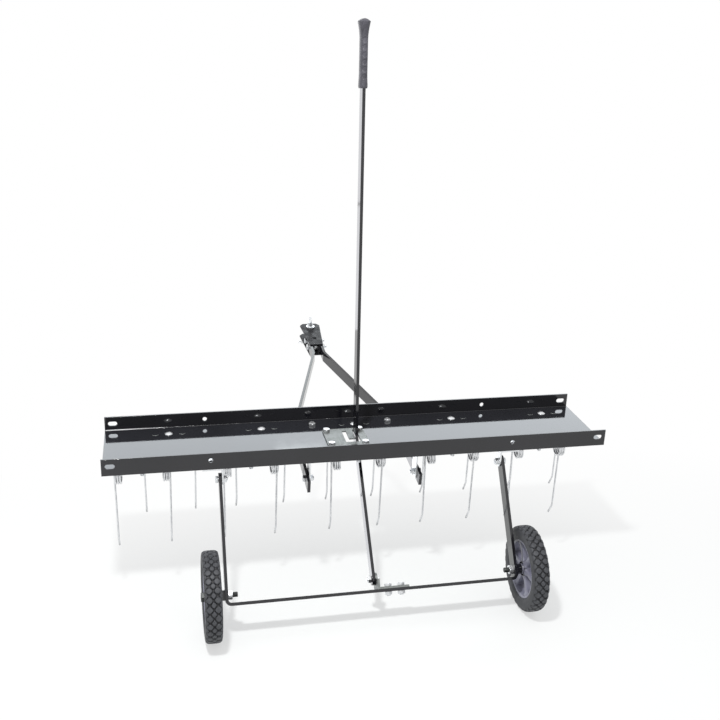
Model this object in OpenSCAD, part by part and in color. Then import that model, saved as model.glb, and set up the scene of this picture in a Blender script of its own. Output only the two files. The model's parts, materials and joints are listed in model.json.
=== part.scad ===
// Tow-behind spring-tine dethatcher: a weight tray on two angles, two rows of double torsion
// tines, a drawbar with a clevis hitch, and a lever that swings the wheel axle down to lift it.
// Millimetres. X along the tray, Y forward to the hitch, Z up. Modules are written from the
// middle of the tray with the underside of its sheet at Z = 0, and set on the ground by placed().

/* [Tray] */
// Length of the tray
tray_l = 1016; // [960:2:1080]
// Depth of the tray over both walls
tray_d = 199; // [190:1:212]
// Height of the walls
wall_h = 34; // [28:1:44]
// Thickness of the angles
angle_t = 3; // [2.5:0.5:4]
// Open space between the angles' flat flanges
deck_gap = 99; // [96:1:102]
// Thickness of the tray sheet
sheet_t = 2; // [1.5:0.5:3]
// Distance between the round wall holes
wall_hole_pitch = 609.6; // [560:0.4:640]
// Diameter of the round wall holes
wall_hole_d = 9; // [7:0.5:11]
// Distance of an end slot from the tray's end
end_slot_inset = 16; // [13:0.5:20]
// Length of an end slot
end_slot_l = 18.5; // [14:0.5:22]
// Width of an end slot
end_slot_w = 9.5; // [7:0.5:11]
// Height of the wall holes above the sheet's underside
wall_hole_z = 16; // [12:1:18]

/* [Tines] */
// Places of the front row's bolts along the tray, the rear row has them turned end for end
tine_x = [-380, -190, 7.5, 224.5, 434];
// Distance of a row of bolts from the middle
tine_row_y = 63.5; // [62:0.5:68]
// Half the distance between a tine's two legs
tine_half = 53; // [48:0.2:54]
// Wire diameter
wire_d = 3.8; // [3.4:0.1:4]
// Mean radius of a coil
coil_r = 14.5; // [13:0.25:15.5]
// Pitch of a coil
coil_pitch = 4.6; // [4.5:0.05:5]
// Whole turns of a coil
coil_turns = 3; // [2:1:3]
// Distance of the tine tips below the sheet
tine_drop = 192; // [170:1:200]
// Height of the bent tip
tip_h = 25; // [18:1:32]
// Forward angle of the bent tip
tip_angle = 30; // [15:1:40]
// Distance by which each leg leans in at its tip
leg_toe = 1.5; // [0:0.25:3]
// Distance from the bolt back to the wire bridge
bridge_back = 12; // [11:0.5:14]
// Corner radius of the wire bridge
bridge_r = 8; // [6:0.5:9]
// Width of a tine clip
clip_w = 16; // [14:1:18]
// Thickness of a tine clip
clip_t = 2.5; // [2:0.5:3]
// Length of a clip behind the wire bridge
clip_back = 6; // [5:0.5:8]
// Length of a clip in front of its bolt
clip_front = 8; // [7.7:0.1:9]
// Thread length of a tine bolt beyond its nut
tine_bolt_end = 6; // [2:0.5:8]
// Half the length of the bend above the tip
tip_bend = 3; // [2:0.25:4]

/* [Lever gate] */
// Left edge of the gate plate
gate_x0 = -66; // [-72:1:-62]
// Right edge of the gate plate
gate_x1 = 19.5; // [19:0.5:24]
// Rear edge of the gate plate
gate_y0 = -45; // [-47:1:-43]
// Front edge of the gate plate
gate_y1 = 36; // [34:1:40]
// Thickness of the gate plate
gate_t = 3; // [2.5:0.5:4]
// Width of the branch that holds the lever
gate_slot_w = 9; // [8.5:0.5:10]
// Front end of the lever branch
gate_slot_y1 = 27.5; // [26.5:0.5:30]
// Middle of the side branch
side_slot_x = -22.5; // [-25:0.5:-20]
// Front end of the side branch
side_slot_y1 = 23; // [18:1:27]
// Front edge of the space that joins the branches
gate_join_y = -14; // [-15:0.5:-13]
// Rear edge of the space that joins the branches
gate_join_y0 = -30; // [-32:0.5:-26]
// Inset of the gate bolts from the plate's edges
gate_bolt_inset = 8; // [7.5:0.25:8.5]
// Corner radius of the gate plate
gate_corner_r = 5; // [3:0.5:7]
// Room in the tray sheet round the gate's slots
cutout_margin = 1; // [0.5:0.25:2]

/* [Drawbars] */
// Width of the flat bars
bar_w = 25.4; // [23:0.2:27]
// Thickness of the flat bars
bar_t = 6; // [5:0.5:7]
// Distance of a drawbar from the middle
drawbar_x = 114; // [108:1:120]
// Distance of a drawbar's front end from the middle
hitch_x = 13.5; // [13:0.5:22]
// Pitch of the drawbars
drawbar_pitch = 6.5; // [4:0.5:8]
// Depth of the rear drawbar bolt below the sheet
drawbar_z = 52; // [47:0.5:54]
// Distance of the drawbar bolts from the middle
drawbar_bolt_y = 68; // [66:0.5:72]
// Length of a drawbar behind its rear bolt
drawbar_tail = 31; // [18:1:34]
// Distance from the rear bolt to the bend
drawbar_bend = 176; // [165:1:190]
// Distance over which the bars run together
drawbar_slope = 356; // [330:1:380]
// Length of the straight front ends
drawbar_front = 102; // [96:1:110]
// Width of a drawbar bracket along the bar
bracket_w = 28; // [24:1:30]
// Thickness of the bent brackets
bracket_t = 3; // [2.5:0.5:4]
// Distance from the bar to the tray bolt of its bracket
bracket_reach = 32; // [30:0.5:36]
// Distance of a bracket's inner edge from its tray bolt
bracket_edge = 13.5; // [12:0.5:16]

/* [Hitch] */
// Thickness of the hitch plates
hitch_t = 3; // [2.5:0.5:3.5]
// Length of a hitch plate's tongue beyond the bars
tongue_l = 60; // [54:1:70]
// Width of the tongue at its front
tongue_w = 51; // [46:1:56]
// Width of the hitch plates at their rear
hitch_rear_w = 33; // [28:1:40]
// Length of the tongue's cut corners
tongue_corner_l = 10; // [6:1:14]
// Width of the tongue's cut corners
tongue_corner_w = 8; // [5:1:11]
// Length of the hitch plates' flanges between the bars
hitch_grip_l = 63; // [60:1:68]
// Height of the hitch plates' flanges
hitch_flange_h = 20; // [17:1:21]
// Distance between the two cross bolts
hitch_bolt_pitch = 35; // [33:1:38]
// Distance of the front cross bolt from the bars' end
hitch_bolt_inset = 10; // [9:0.5:12]
// Diameter of the spare hole between the cross bolts
spare_hole_d = 11; // [9:0.5:13]
// Diameter of the hitch pin
pin_d = 12.7; // [12:0.1:14]
// Distance of the hitch pin from the tongue's front
pin_inset = 23; // [20:1:27]
// Length of the hitch pin above the upper plate
pin_up = 16; // [10:1:34]
// Length of the hitch pin below the lower plate
pin_down = 26; // [22:1:30]
// Diameter of the pin's collar
pin_collar_d = 21.7; // [19:0.1:24]
// Height of the pin's collar
pin_collar_h = 4; // [3:0.5:6]
// Radius of the pin's ring handle
ring_r = 8.5; // [8:0.5:13]
// Wire diameter of the ring handle
ring_d = 4.4; // [4:0.2:5]
// Depth of the ring handle in the pin's top
ring_sink = 3; // [2.5:0.25:4]
// Wire diameter of the hairpin clip
hairpin_d = 2.5; // [2:0.1:3]
// Distance between the legs of the hairpin clip
hairpin_gap = 10; // [9.5:0.25:11]
// Distance from the pin back to the hairpin clip's loop
hairpin_back = 24; // [18:1:30]
// Length of the hairpin clip's straight leg
hairpin_l = 40; // [36:1:48]
// Length of the hairpin clip's outer leg
hairpin_outer_l = 32; // [26:1:40]

/* [Axle] */
// Distance of the axle pivot behind the middle
pivot_y = 88; // [87.5:0.25:90]
// Depth of the axle pivot below the sheet
pivot_z = 31; // [27:0.5:33]
// Rearward lean of the axle legs
leg_angle = 34.2; // [32:0.2:36]
// Length of the axle legs to the middle of the crossbar
leg_l = 236.6; // [225:0.2:245]
// Distance of an axle leg from the middle
leg_x = 287.5; // [287:0.1:288.5]
// Bend radius outside the axle bar's corners
axle_bend_r = 12; // [9:0.5:16]
// Thickness of an axle hanger
hanger_t = 3; // [2.5:0.25:3.5]
// Reach of an axle hanger's flange
hanger_reach = 40; // [36:0.5:41]
// Half the width of an axle hanger's upright
hanger_half = 11; // [9:0.5:11.5]
// Distance of a hanger bolt beyond the axle leg
hanger_bolt_out = 20; // [18:0.5:21]
// Distance of a hanger bolt from the rear wall's face
hanger_bolt_inset = 24.5; // [22:0.5:28]

/* [Lever] */
// Width of the lever
lever_w = 24; // [22:0.5:25]
// Thickness of the lever
lever_t = 6; // [5:0.25:6.5]
// Extra diameter of the lever's rounded end and bend
lever_round = 0.4; // [0.2:0.1:1]
// Height of the lever bolt above the crossbar along the legs
lever_bolt_up = 23; // [22:0.25:26]
// Distance of the lever bolt in front of the crossbar's middle
lever_bolt_fwd = 16; // [14:0.5:18]
// Place of the lever's bend, forward of the middle
lever_bend_y = 8; // [6:0.5:9]
// Height of the lever's bend above the sheet
lever_bend_z = 0; // [-3:0.5:3]
// Forward place of the lever's top
lever_top_y = 66; // [60:0.5:72]
// Height of the lever's top above the sheet
lever_top_z = 812; // [760:1:860]
// Length of the grip
grip_l = 118.5; // [105:0.5:145]
// Thickness of the grip
grip_t = 15; // [13:0.5:17]
// Thickness of the grip's flared top
grip_top_t = 23.5; // [21:0.5:27]
// Depth of grip rubber in front of and behind the lever
grip_wall = 3; // [2.5:0.25:4]
// Length of the grip's lower collar
grip_collar_l = 12; // [8:0.5:18]
// Thickness that the collar adds to the grip
grip_collar_t = 2; // [1:0.25:3]
// Length of the grip's flared top below the lever's end
grip_top_l = 22; // [16:1:28]
// Height of the grip's cap above the lever's end
grip_cap = 5.5; // [4:0.25:7]
// Radius of the grip's domed cap
grip_dome_r = 29.5; // [26:0.5:36]
// Length by which the grip's lengths lap
grip_lap = 2; // [1:0.25:3]
// Length of the lever bracket along the crossbar
lever_bracket_l = 62; // [58:1:70]
// Thickness of the lever bracket
lever_bracket_t = 4; // [3:0.5:5]
// Radius of the lever bracket round its bolt
lever_eye_r = 12; // [10:0.5:13]
// Distance of the lever bracket's first bolt from its upright
lever_bracket_bolt_1 = 22; // [18:0.5:26]
// Distance of the lever bracket's second bolt from its upright
lever_bracket_bolt_2 = 48; // [44:0.5:50]

/* [Wheels] */
// Radius of the wheels
wheel_r = 85.8; // [82:0.1:93]
// Width of the tyres
tyre_w = 32; // [30:0.5:37.5]
// Height of the tyre's bead
bead_h = 4; // [3:0.25:6]
// Depth of the tyre's bead from its side
bead_in = 4; // [3:0.25:5]
// Bulge of the tyre's side
bulge = 1; // [0.5:0.25:2]
// Height of the tyre's rounded shoulder
shoulder_h = 9; // [6:0.5:12]
// Cut of the shoulder at each end
shoulder_cut = 3; // [2:0.25:4]
// Distance of the flat tread from the tyre's side
tread_inset = 6; // [5:0.5:9]
// Width of a tread groove
groove_w = 2; // [1.5:0.25:3]
// Depth of a tread groove
groove_depth = 2.5; // [1.5:0.25:3.5]
// Distance of a wheel's middle from the machine's middle
wheel_x = 315; // [313.5:0.25:317]
// Distance of the wheel axle from the pivot along the legs
axle_at = 219; // [208:0.5:222]
// Radius of the rims
rim_r = 59; // [54:0.5:66]
// Width of the rims
rim_w = 26; // [24:0.5:30]
// Radius of the hubs
hub_r = 17; // [15:0.5:20]
// Thickness of the rim's ring
rim_wall = 7; // [5:0.5:9]
// Width of a spoke
spoke_w = 10; // [8:0.5:13]
// Distance of a spoke from the rim's sides
spoke_inset = 6; // [4:0.5:8]
// Length by which a spoke runs into the hub and the ring
spoke_lap = 2; // [1:0.25:3]
// Number of spokes
spokes = 6; // [5:1:8]
// Diameter of the axle bolts
axle_d = 10; // [9:0.5:11]
// Width over the flats of the axle bolts and nuts
axle_af = 17; // [16:0.25:18]
// Height of an axle bolt's head
axle_head_h = 6.3; // [5:0.1:7.5]
// Height of an axle nut
axle_nut_h = 8.5; // [7:0.1:10]
// Length of an axle bolt beyond its nut
axle_bolt_end = 10; // [2:0.5:14]
// Wall of an axle spacer
spacer_wall = 5; // [3:0.25:6]

/* [Fasteners] */
// Diameter of the bolts
bolt_d = 8; // [7.5:0.1:8.4]
// Width over the flats of the bolt heads and nuts
bolt_af = 13; // [12.5:0.1:13.4]
// Height of a hexagon bolt head
head_h = 5.3; // [4.5:0.1:6]
// Height of a nut
nut_h = 6.5; // [6:0.1:7]
// Height of a dome head
dome_h = 4; // [3:0.25:5]
// Radius of a dome head
dome_r = 8.5; // [7:0.25:8.75]
// Thread length beyond a nut
bolt_end = 2; // [1:0.5:3]

/* [Clearances] */
// Radial clearance of a hole round a fixed bolt
hole_clear = 0.2; // [0.1:0.05:0.3]
// Radial clearance of a nut round its thread
nut_clear = 0.05; // [0.02:0.01:0.1]
// Radial running clearance of a hinge or wheel
run_clear = 0.05; // [0.02:0.01:0.1]
// Gap between faces that move past each other
side_gap = 0.5; // [0.3:0.1:0.7]
// Gap between the wire and what it lies against
wire_gap = 0.1; // [0.05:0.05:0.2]
// Gap between seated pieces
seat_gap = 0.1; // [0.05:0.05:0.2]

/* [Hidden] */
$fn = 48;
e = 1;
// Depth of a cut that goes right through
through = 60;
bolt_r = bolt_d / 2;
hole_r = bolt_r + hole_clear;
hex_k = 1 / cos(30);
wall_y = tray_d / 2;
flange_w = (tray_d - deck_gap) / 2;
end_slot_x = tray_l / 2 - end_slot_inset;
sheet_d = tray_d - 2 * angle_t - 2 * seat_gap;
under = -angle_t;
// Tine coil, from its bolt
bridge_z = under - clip_t - wire_gap - wire_d / 2;
coil_z = bridge_z - coil_r;
coil_in = tine_half - coil_pitch * (coil_turns + 0.25);
clip_top = bridge_z - wire_d / 2 - wire_gap;
clip_bottom = clip_top - clip_t;
ring_sides = 6;
curl_rings = 8;
// Drawbar line in its own plane, from the rear bolt
bar_end = drawbar_bend + drawbar_slope + drawbar_front;
front_bolt_u = 2 * drawbar_bolt_y / cos(drawbar_pitch);
bar_line = [[drawbar_x, -drawbar_tail], [drawbar_x, drawbar_bend],
    [hitch_x, drawbar_bend + drawbar_slope], [hitch_x, bar_end]];
bar_in = drawbar_x - bar_t / 2;
bracket_bolt_x = drawbar_x - bracket_reach;
bracket_in = bracket_bolt_x - bracket_edge;
channel_x = hitch_x - bar_t / 2;
hitch_rear = bar_end - hitch_grip_l;
hitch_end = bar_end + tongue_l;
hitch_bolts_u = [bar_end - hitch_bolt_inset - hitch_bolt_pitch, bar_end - hitch_bolt_inset];
pin_u = hitch_end - pin_inset;
clip_v = -bar_w / 2 - hitch_t - pin_down / 2;
// Axle and lever
leg_in = leg_x - bar_t / 2;
leg_out = leg_x + bar_t / 2;
hanger_x = leg_in - side_gap - hanger_t;
hanger_bolt_x = leg_x + hanger_bolt_out;
hanger_bolt_y = hanger_bolt_inset - wall_y;
axle_y = -pivot_y - axle_at * sin(leg_angle);
axle_z = -pivot_z - axle_at * cos(leg_angle);
lever_s = leg_l - lever_bolt_up;
lever_by = -pivot_y - lever_s * sin(leg_angle) + lever_bolt_fwd * cos(leg_angle);
lever_bz = -pivot_z - lever_s * cos(leg_angle) - lever_bolt_fwd * sin(leg_angle);
upright_x = lever_t / 2 + side_gap;
bracket_bolts_x = [upright_x + lever_bracket_bolt_1, upright_x + lever_bracket_bolt_2];
low_run = norm([lever_bend_y - lever_by, lever_bend_z - lever_bz]);
low_angle = atan2(lever_bend_y - lever_by, lever_bend_z - lever_bz);
up_run = norm([lever_top_y - lever_bend_y, lever_top_z - lever_bend_z]);
up_angle = atan2(lever_top_y - lever_bend_y, lever_top_z - lever_bend_z);
// Wheels
rim_in = wheel_x - rim_w / 2;
rim_out = wheel_x + rim_w / 2;
// Placing on the ground, middle of the whole at the origin
y_rear = axle_y - wheel_r;
y_front = -drawbar_bolt_y + hitch_end * cos(drawbar_pitch)
    + (bar_w / 2 + seat_gap + hitch_t) * sin(drawbar_pitch);
ground = axle_z - wheel_r;

// Sub-part to show

// Helpers

module placed() translate([0, -(y_front + y_rear) / 2, -ground]) children();

// Flat rectangle with rounded corners, from its lower left corner
module rrect(w, h, r) {
    translate([r, 0]) square([w - 2 * r, h]);
    translate([0, r]) square([w, h - 2 * r]);
    for (x = [r, w - r], y = [r, h - r]) translate([x, y]) circle(r);
}

// Stadium along Y, about its middle
module stadium(w, h) {
    square([w, h - w], center = true);
    for (s = [-1, 1]) translate([0, s * (h - w) / 2]) circle(d = w);
}

// Bolts stand on Z = 0 with their shank below
module hex_bolt(d, af, h, l) {
    cylinder(d = af * hex_k, h = h, $fn = 6);
    translate([0, 0, -l]) cylinder(d = d, h = l + h / 2);
}

module dome_bolt(d, l) {
    ball = (dome_r * dome_r + dome_h * dome_h) / (2 * dome_h);
    intersection() {
        translate([0, 0, dome_h - ball]) sphere(ball);
        cylinder(r = dome_r + e, h = dome_h + e);
    }
    translate([0, 0, -l]) cylinder(d = d, h = l + dome_h / 2);
}

// Nuts hang below Z = 0
module nut(d, af, h) translate([0, 0, -h]) difference() {
    cylinder(d = af * hex_k, h = h, $fn = 6);
    translate([0, 0, -e]) cylinder(r = d / 2 + nut_clear, h = h + 2 * e);
}

module hole(r, depth) translate([0, 0, -depth]) cylinder(r = r, h = 2 * depth);

// A piece whose local Z points along +X or -X
module along_x(side) rotate([0, side * 90, 0]) children();

// The drawbars' own plane, from the rear bolt
module pitched() translate([0, -drawbar_bolt_y, -drawbar_z]) rotate([drawbar_pitch, 0, 0]) children();

// The axle's own plane: Y forward across the legs, -Z along them from the pivot
module leaned() translate([0, -pivot_y, -pivot_z]) rotate([-leg_angle, 0, 0]) children();

module at_tines() {
    for (x = tine_x) translate([x, tine_row_y, 0]) children();
    for (x = tine_x) translate([-x, -tine_row_y, 0]) children();
}

module at_brackets() for (x = [-1, 1], y = [-1, 1])
    translate([x * bracket_bolt_x, y * drawbar_bolt_y, 0]) children();

module at_gate() for (x = [gate_x0 + gate_bolt_inset, gate_x1 - gate_bolt_inset],
    y = [gate_y0 + gate_bolt_inset, gate_y1 - gate_bolt_inset]) translate([x, y, 0]) children();

module at_hangers() for (s = [-1, 1]) translate([s * hanger_bolt_x, hanger_bolt_y, 0]) children();

// Tray

module tray_holes() {
    at_tines() hole(hole_r, through);
    at_brackets() hole(hole_r, through);
    at_hangers() hole(hole_r, through);
}

module weight_tray() color([0.05, 0.05, 0.06]) difference() {
    translate([-tray_l / 2, -sheet_d / 2, 0]) cube([tray_l, sheet_d, sheet_t]);
    tray_holes();
    at_gate() hole(hole_r, through);
    translate([side_slot_x - gate_slot_w / 2 - cutout_margin, gate_join_y0 - cutout_margin, -e])
        cube([gate_slot_w - side_slot_x + cutout_margin,
            gate_slot_y1 - gate_join_y0 + 2 * cutout_margin, sheet_t + 2 * e]);
}

module angle_bar() color([0.06, 0.06, 0.07]) difference() {
    translate([-tray_l / 2, 0, 0]) rotate([90, 0, 90]) linear_extrude(tray_l) {
        translate([-wall_y, under]) square([flange_w, angle_t]);
        translate([-wall_y, under]) square([angle_t, wall_h]);
    }
    for (s = [-1, 1]) translate([s * wall_hole_pitch / 2, -wall_y, wall_hole_z])
        rotate([90, 0, 0]) hole(wall_hole_d / 2, through);
    for (s = [-1, 1]) translate([s * end_slot_x, -wall_y, wall_hole_z])
        rotate([90, 90, 0]) linear_extrude(through, center = true) stadium(end_slot_w, end_slot_l);
    tray_holes();
    rotate([0, 0, 180]) tray_holes();
}

// Tines: one wire swept as a tube, from one tip through both coils to the other

// Each ring is its centre, its direction and its up vector, from the bridge out to the right tip
bridge_out = [for (a = [0 : 45 : 90])
    [[coil_in - bridge_r + bridge_r * sin(a), -bridge_back + bridge_r * (1 - cos(a)), bridge_z],
        [cos(a), sin(a), 0], [0, 0, 1]]];
coil_steps = curl_rings * (coil_turns + 0.25);
coil_slope = coil_pitch / (2 * PI * coil_r);
coil_out = [for (i = [0 : coil_steps]) let (a = 90 - i * 360 / curl_rings)
    [[coil_in + coil_pitch * i / curl_rings, coil_r * cos(a), coil_z + coil_r * sin(a)],
        [coil_slope, sin(a), -cos(a)] / norm([coil_slope, 1]), [0, cos(a), sin(a)]]];
tip_z = -tine_drop + wire_d / 2 * sin(tip_angle);
leg_out_rings = [for (k = [[0, tip_bend], [0.5, 0], [1, -tip_bend]])
    [[tine_half - leg_toe, coil_r + (k[0] == 1 ? tip_bend * tan(tip_angle) : 0), tip_z + tip_h + k[1]],
        [0, sin(k[0] * tip_angle), -cos(k[0] * tip_angle)],
        [0, cos(k[0] * tip_angle), sin(k[0] * tip_angle)]]];
tip_ring = [[[tine_half - leg_toe, coil_r + tip_h * tan(tip_angle), tip_z],
    [0, sin(tip_angle), -cos(tip_angle)], [0, cos(tip_angle), sin(tip_angle)]]];
half_wire = concat(bridge_out, coil_out, leg_out_rings, tip_ring);
function flip(r) = [[-r[0][0], r[0][1], r[0][2]], [r[1][0], -r[1][1], -r[1][2]], r[2]];
half_n = len(half_wire);
wire = concat([for (i = [half_n - 1 : -1 : 0]) flip(half_wire[i])], half_wire);
wire_n = len(wire);
wire_points = [for (r = wire, k = [0 : ring_sides - 1]) let (b = cross(r[1], r[2]))
    r[0] + wire_d / 2 * (cos(k * 360 / ring_sides) * r[2] + sin(k * 360 / ring_sides) * b)];
function ring_id(i, k) = i * ring_sides + (k % ring_sides);
wire_faces = concat(
    [for (i = [0 : wire_n - 2], k = [0 : ring_sides - 1])
        [ring_id(i, k), ring_id(i + 1, k + 1), ring_id(i, k + 1)]],
    [for (i = [0 : wire_n - 2], k = [0 : ring_sides - 1])
        [ring_id(i, k), ring_id(i + 1, k), ring_id(i + 1, k + 1)]],
    [for (k = [1 : ring_sides - 2]) [0, ring_id(0, k), ring_id(0, k + 1)]],
    [for (k = [1 : ring_sides - 2])
        [ring_id(wire_n - 1, 0), ring_id(wire_n - 1, k + 1), ring_id(wire_n - 1, k)]]);
// Rings half a turn or more apart along the wire
wire_reach = [for (i = [0 : wire_n - 1], j = [i + 5 : wire_n - 1]) norm(wire[i][0] - wire[j][0])];
echo(tine_self_gap_mm = min(wire_reach) - wire_d);

module tine() color([0.72, 0.73, 0.75]) polyhedron(points = wire_points, faces = wire_faces);

module front_tine(i) translate([tine_x[i], tine_row_y, 0]) tine();

module rear_tine(i) translate([-tine_x[len(tine_x) - 1 - i], -tine_row_y, 0]) tine();

module tine_clips() color([0.7, 0.71, 0.74]) at_tines() difference() {
    union() {
        translate([-clip_w / 2, -bridge_back - clip_back, clip_bottom])
            cube([clip_w, bridge_back + clip_back + clip_front, clip_t]);
        translate([-clip_w / 2, -bridge_back - clip_back, under - clip_t])
            cube([clip_w, bridge_back + clip_back + clip_front, clip_t]);
        translate([-clip_w / 2, clip_front - clip_t, clip_bottom])
            cube([clip_w, clip_t, under - clip_bottom]);
    }
    hole(hole_r, through);
}

module tine_bolts() color([0.75, 0.76, 0.78]) at_tines() translate([0, 0, sheet_t])
    dome_bolt(bolt_d, sheet_t - clip_bottom + nut_h + tine_bolt_end);

module tine_nuts() color([0.75, 0.76, 0.78]) at_tines() translate([0, 0, clip_bottom])
    nut(bolt_d, bolt_af, nut_h);

// Lever gate

module lever_gate_plate() color([0.72, 0.74, 0.74]) translate([0, 0, sheet_t]) difference() {
    translate([gate_x0, gate_y0, 0]) linear_extrude(gate_t)
        rrect(gate_x1 - gate_x0, gate_y1 - gate_y0, gate_corner_r);
    translate([-gate_slot_w / 2, gate_join_y0, -e])
        cube([gate_slot_w, gate_slot_y1 - gate_join_y0, gate_t + 2 * e]);
    translate([side_slot_x - gate_slot_w / 2, gate_join_y0, -e])
        cube([gate_slot_w, side_slot_y1 - gate_join_y0, gate_t + 2 * e]);
    translate([side_slot_x, gate_join_y0, -e])
        cube([-side_slot_x, gate_join_y - gate_join_y0, gate_t + 2 * e]);
    at_gate() hole(hole_r, through);
}

module gate_bolts() color([0.75, 0.76, 0.78]) at_gate() translate([0, 0, sheet_t + gate_t])
    hex_bolt(bolt_d, bolt_af, head_h, gate_t + sheet_t + nut_h + bolt_end);

module gate_nuts() color([0.75, 0.76, 0.78]) at_gate() nut(bolt_d, bolt_af, nut_h);

// Drawbars and their brackets

// Offset point of a bent line at its corner, to one side
function turn(p, q) = let (d = (q - p) / norm(q - p)) [-d[1], d[0]];
function side_point(l, i, o) = let (n0 = turn(l[max(i - 1, 0)], l[max(i, 1)]),
    n1 = turn(l[min(i, len(l) - 2)], l[min(i + 1, len(l) - 1)]), m = (n0 + n1) / norm(n0 + n1))
    l[i] + m * o / (m * n0);

module drawbar() color([0.12, 0.12, 0.13]) pitched() difference() {
    translate([0, 0, -bar_w / 2]) linear_extrude(bar_w) polygon(concat(
        [for (i = [0 : 3]) side_point(bar_line, i, bar_t / 2)],
        [for (i = [3 : -1 : 0]) side_point(bar_line, i, -bar_t / 2)]));
    for (u = concat([0, front_bolt_u], hitch_bolts_u)) translate([0, u, 0])
        along_x(1) cylinder(r = hole_r, h = drawbar_x + through);
}

// Depth is from the sheet's underside to the bar bolt
module bar_bracket(y, depth) color([0.72, 0.73, 0.75]) translate([0, y, 0]) difference() {
    union() {
        translate([bracket_in, -bracket_w / 2, under - bracket_t])
            cube([bar_in - bracket_in, bracket_w, bracket_t]);
        translate([bar_in - bracket_t, -bracket_w / 2, -depth])
            cube([bracket_t, bracket_w, depth + under]);
        translate([bar_in - bracket_t, 0, -depth]) along_x(1) cylinder(d = bracket_w, h = bracket_t);
    }
    translate([bracket_bolt_x, 0, 0]) hole(hole_r, through);
    translate([bar_in, 0, -depth]) along_x(1) hole(hole_r, through);
}

front_depth = drawbar_z - front_bolt_u * sin(drawbar_pitch);

module front_bracket() bar_bracket(drawbar_bolt_y, front_depth);

module rear_bracket() bar_bracket(-drawbar_bolt_y, drawbar_z);

module bracket_bolts() color([0.78, 0.79, 0.81]) at_brackets() translate([0, 0, sheet_t])
    hex_bolt(bolt_d, bolt_af, head_h, sheet_t - under + bracket_t + nut_h + bolt_end);

module bracket_nuts() color([0.75, 0.76, 0.78]) at_brackets() translate([0, 0, under - bracket_t])
    nut(bolt_d, bolt_af, nut_h);

module at_bar_bolts(x) pitched() for (s = [-1, 1], u = [0, front_bolt_u])
    translate([s * x, u, 0]) along_x(s) children();

module drawbar_bolts() color([0.75, 0.76, 0.78]) at_bar_bolts(drawbar_x + bar_t / 2)
    hex_bolt(bolt_d, bolt_af, head_h, bar_t + bracket_t + nut_h + bolt_end);

module drawbar_nuts() color([0.75, 0.76, 0.78]) at_bar_bolts(bar_in - bracket_t)
    nut(bolt_d, bolt_af, nut_h);

// Hitch: two channels, the lower inside the upper, between the bars' front ends

module hitch_web() linear_extrude(hitch_t) difference() {
    polygon([[-hitch_rear_w / 2, hitch_rear], [hitch_rear_w / 2, hitch_rear],
        [tongue_w / 2, hitch_end - tongue_corner_l], [tongue_w / 2 - tongue_corner_w, hitch_end],
        [tongue_corner_w - tongue_w / 2, hitch_end], [-tongue_w / 2, hitch_end - tongue_corner_l]]);
    translate([0, pin_u]) circle(pin_d / 2 + hole_clear);
    translate([0, (hitch_bolts_u[0] + hitch_bolts_u[1]) / 2]) circle(d = spare_hole_d);
}

module cross_holes() for (u = hitch_bolts_u) translate([0, u, 0]) along_x(1) hole(hole_r, drawbar_x);

module hitch_upper_plate() color([0.05, 0.05, 0.06]) pitched() difference() {
    union() {
        translate([0, 0, bar_w / 2 + seat_gap]) hitch_web();
        for (s = [-1, 1]) translate([s * (channel_x - hitch_t / 2), hitch_rear + hitch_grip_l / 2,
            bar_w / 2 + hitch_t / 2 - hitch_flange_h / 2])
            cube([hitch_t, hitch_grip_l, hitch_flange_h + hitch_t], center = true);
    }
    cross_holes();
}

module hitch_lower_plate() color([0.05, 0.05, 0.06]) pitched() difference() {
    union() {
        translate([0, 0, -bar_w / 2 - seat_gap - hitch_t]) hitch_web();
        for (s = [-1, 1]) translate([s * (channel_x - hitch_t * 1.5), hitch_rear + hitch_grip_l / 2,
            hitch_flange_h / 2 - bar_w / 2 - hitch_t / 2])
            cube([hitch_t, hitch_grip_l, hitch_flange_h + hitch_t], center = true);
    }
    cross_holes();
}

hitch_out = hitch_x + bar_t / 2;

module hitch_bolts() color([0.75, 0.76, 0.78]) pitched() for (u = hitch_bolts_u)
    translate([-hitch_out, u, 0]) along_x(-1)
        hex_bolt(bolt_d, bolt_af, head_h, 2 * hitch_out + nut_h + 3 * bolt_end);

module hitch_nuts() color([0.75, 0.76, 0.78]) pitched() for (u = hitch_bolts_u)
    translate([hitch_out, u, 0]) along_x(-1) nut(bolt_d, bolt_af, nut_h);

pin_top = bar_w / 2 + hitch_t + pin_up;

module hitch_pin() color([0.78, 0.79, 0.81]) pitched() translate([0, pin_u, 0]) difference() {
    union() {
        translate([0, 0, -bar_w / 2 - hitch_t - pin_down])
            cylinder(d = pin_d, h = bar_w + 2 * hitch_t + pin_down + pin_up);
        translate([0, 0, bar_w / 2 + seat_gap + hitch_t]) cylinder(d = pin_collar_d, h = pin_collar_h);
        translate([0, 0, pin_top + ring_r - ring_sink]) rotate([0, 90, 0]) rotate_extrude()
            translate([ring_r, 0]) circle(d = ring_d);
    }
    translate([0, 0, clip_v]) along_x(1) hole(hairpin_d / 2 + hole_clear, pin_d);
}

module hitch_clip() color([0.8, 0.81, 0.83]) pitched() translate([0, pin_u, clip_v]) {
    translate([-hairpin_back, 0, 0]) along_x(1) cylinder(d = hairpin_d, h = hairpin_l);
    translate([-hairpin_back, hairpin_gap, 0]) along_x(1) cylinder(d = hairpin_d, h = hairpin_outer_l);
    translate([-hairpin_back, hairpin_gap / 2, 0]) rotate([0, 0, 90]) rotate_extrude(angle = 180)
        translate([hairpin_gap / 2, 0]) circle(d = hairpin_d);
}

// Axle hangers and pivots

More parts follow.
